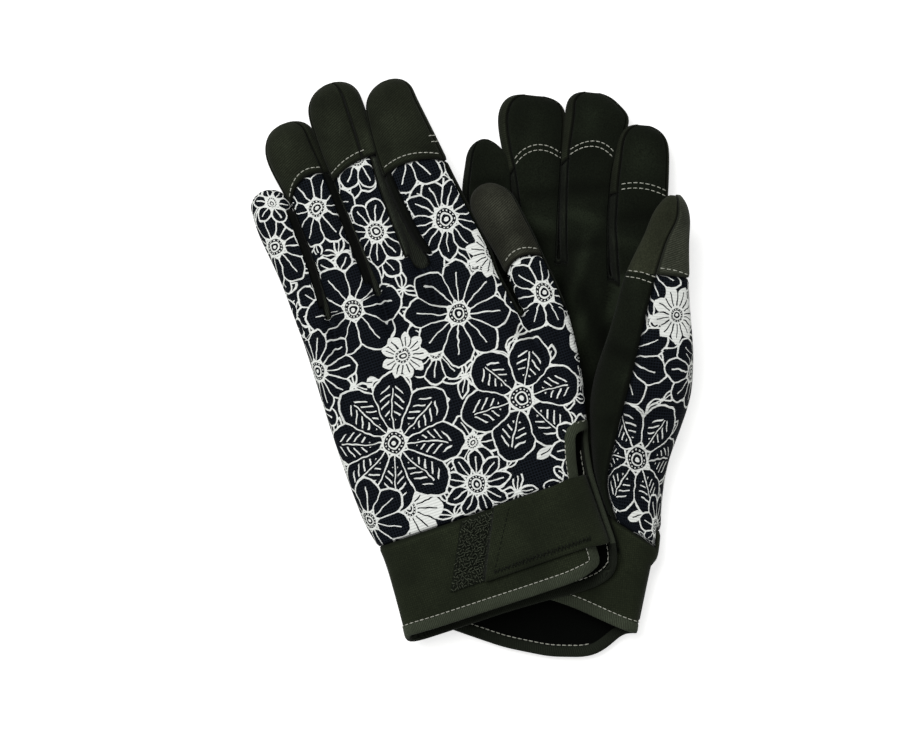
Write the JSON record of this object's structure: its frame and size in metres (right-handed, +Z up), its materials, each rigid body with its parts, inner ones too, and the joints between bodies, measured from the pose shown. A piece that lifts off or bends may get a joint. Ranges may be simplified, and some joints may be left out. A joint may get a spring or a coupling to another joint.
{
  "type": "gardening gloves",
  "caption": "Pair of cloth gardening gloves with capped fingertips, sueded palms and wrap-over cuff closures, laid one across the other.",
  "frame": {"origin": "middle of the pair's footprint on the table", "axes": "+Y towards the fingertips, +X towards the right glove's thumb, +Z up"},
  "size_m": [0.1892, 0.2414, 0.0305],
  "materials": {
    "printed_cloth": "matt stretch cloth, fine ribs, pale floral line print",
    "twill_cap": "matt brushed twill",
    "stretch_side": "matt stretch knit",
    "synthetic_suede": "matt sueded microfibre",
    "cuff_neoprene": "matt knit-faced foam",
    "binding_tape": "folded bias tape",
    "loop_pile": "brushed loop pile",
    "hook_tape": "moulded hooks"
  },
  "bodies": {
    "left_little": {"left_little_back": "printed_cloth", "left_little_palm": "synthetic_suede", "left_little_fourchettes": "stretch_side"},
    "left_ring": {"left_ring_palm": "synthetic_suede", "left_ring_tip_patch": "synthetic_suede", "left_ring_cap": "twill_cap", "left_ring_back": "printed_cloth", "left_ring_fourchettes": "stretch_side"},
    "left_middle": {"left_middle_palm": "synthetic_suede", "left_middle_tip_patch": "synthetic_suede", "left_middle_cap": "twill_cap", "left_middle_back": "printed_cloth", "left_middle_fourchettes": "stretch_side"},
    "left_index": {"left_index_palm": "synthetic_suede", "left_index_tip_patch": "synthetic_suede", "left_index_cap": "twill_cap", "left_index_back": "printed_cloth", "left_index_fourchettes": "stretch_side"},
    "right_hand": {"right_little_back": "printed_cloth", "right_little_palm": "synthetic_suede", "right_little_fourchettes": "stretch_side", "right_ring_palm": "synthetic_suede", "right_ring_back": "printed_cloth", "right_ring_fourchettes": "stretch_side", "right_middle_palm": "synthetic_suede", "right_middle_back": "printed_cloth", "right_middle_fourchettes": "stretch_side", "right_index_palm": "synthetic_suede", "right_index_back": "printed_cloth", "right_index_fourchettes": "stretch_side", "right_back_panel": "printed_cloth", "right_palm_panel": "synthetic_suede", "right_cuff_back": "cuff_neoprene", "right_edge_binding": "binding_tape", "right_loop_patch": "loop_pile", "right_cuff_palm": "cuff_neoprene"},
    "right_ring_tip": {"right_ring_tip_patch": "synthetic_suede", "right_ring_cap": "twill_cap"},
    "right_middle_tip": {"right_middle_tip_patch": "synthetic_suede", "right_middle_cap": "twill_cap"},
    "right_index_tip": {"right_index_tip_patch": "synthetic_suede", "right_index_cap": "twill_cap"},
    "left_thumb": {"left_thumb_palm": "synthetic_suede", "left_thumb_tip_patch": "synthetic_suede", "left_thumb_cap": "twill_cap", "left_thumb_back": "printed_cloth"},
    "right_thumb": {"right_thumb_back": "printed_cloth", "right_thumb_cap": "twill_cap", "right_thumb_palm": "synthetic_suede", "right_thumb_tip_patch": "synthetic_suede"},
    "left_hand": {"left_palm_panel": "synthetic_suede", "left_back_panel": "printed_cloth", "left_cuff_back": "cuff_neoprene", "left_edge_binding": "binding_tape", "left_loop_patch": "loop_pile", "left_cuff_palm": "cuff_neoprene"},
    "left_tab": {"left_hook_patch": "hook_tape", "left_closure_tab": "cuff_neoprene"},
    "right_tab": {"right_hook_patch": "hook_tape", "right_closure_tab": "cuff_neoprene"}
  },
  "joints": [
    {"name": "left_glove_lift", "type": "slide", "parent": "right_hand", "child": "left_hand", "axis": [0, 0, 1], "range_m": [0, 0.15]},
    {"name": "left_little_lift", "type": "hinge", "parent": "left_hand", "child": "left_little", "pos_m": [-0.06491, 0.01878, 0.01599], "axis": [0.9088, 0.4083, 0.0854], "range_deg": [0, 30]},
    {"name": "left_ring_lift", "type": "hinge", "parent": "left_hand", "child": "left_ring", "pos_m": [-0.04535, 0.02576, 0.01783], "axis": [0.9067, 0.4131, 0.0852], "range_deg": [0, 30]},
    {"name": "left_middle_lift", "type": "hinge", "parent": "left_hand", "child": "left_middle", "pos_m": [-0.02401, 0.03295, 0.01983], "axis": [0.9137, 0.3971, 0.0859], "range_deg": [0, 30]},
    {"name": "left_index_lift", "type": "hinge", "parent": "left_hand", "child": "left_index", "pos_m": [-0.00229, 0.04054, 0.02188], "axis": [0.9123, 0.4003, 0.0858], "range_deg": [0, 30]},
    {"name": "left_thumb_swing", "type": "hinge", "parent": "left_hand", "child": "left_thumb", "pos_m": [0.0441, 0.02054, 0.01318], "axis": [0.0936, 0, -0.9956], "range_deg": [0, 30]},
    {"name": "right_ring_tip_curl", "type": "hinge", "parent": "right_hand", "child": "right_ring_tip", "pos_m": [0.02778, 0.09113, 0.01134], "axis": [0.9955, 0.0122, 0.0936], "range_deg": [0, 60]},
    {"name": "right_middle_tip_curl", "type": "hinge", "parent": "right_hand", "child": "right_middle_tip", "pos_m": [0.05299, 0.08992, 0.01371], "axis": [0.9952, -0.0297, 0.0935], "range_deg": [0, 60]},
    {"name": "right_index_tip_curl", "type": "hinge", "parent": "right_hand", "child": "right_index_tip", "pos_m": [0.07538, 0.07419, 0.01582], "axis": [0.9952, -0.0279, 0.0936], "range_deg": [0, 60]},
    {"name": "right_thumb_swing", "type": "hinge", "parent": "right_hand", "child": "right_thumb", "pos_m": [0.08519, 0.00299, 0.01704], "axis": [0.0936, 0, -0.9956], "range_deg": [0, 30]},
    {"name": "left_tab_peel", "type": "hinge", "parent": "left_hand", "child": "left_tab", "pos_m": [0.05207, -0.07724, 0.0289], "axis": [-0.2537, 0.967, -0.0238], "range_deg": [0, 160]},
    {"name": "right_tab_peel", "type": "hinge", "parent": "right_hand", "child": "right_tab", "pos_m": [0.07461, -0.1108, 0.0015], "axis": [-0.1726, -0.985, 0], "range_deg": [0, 160]}
  ]
}
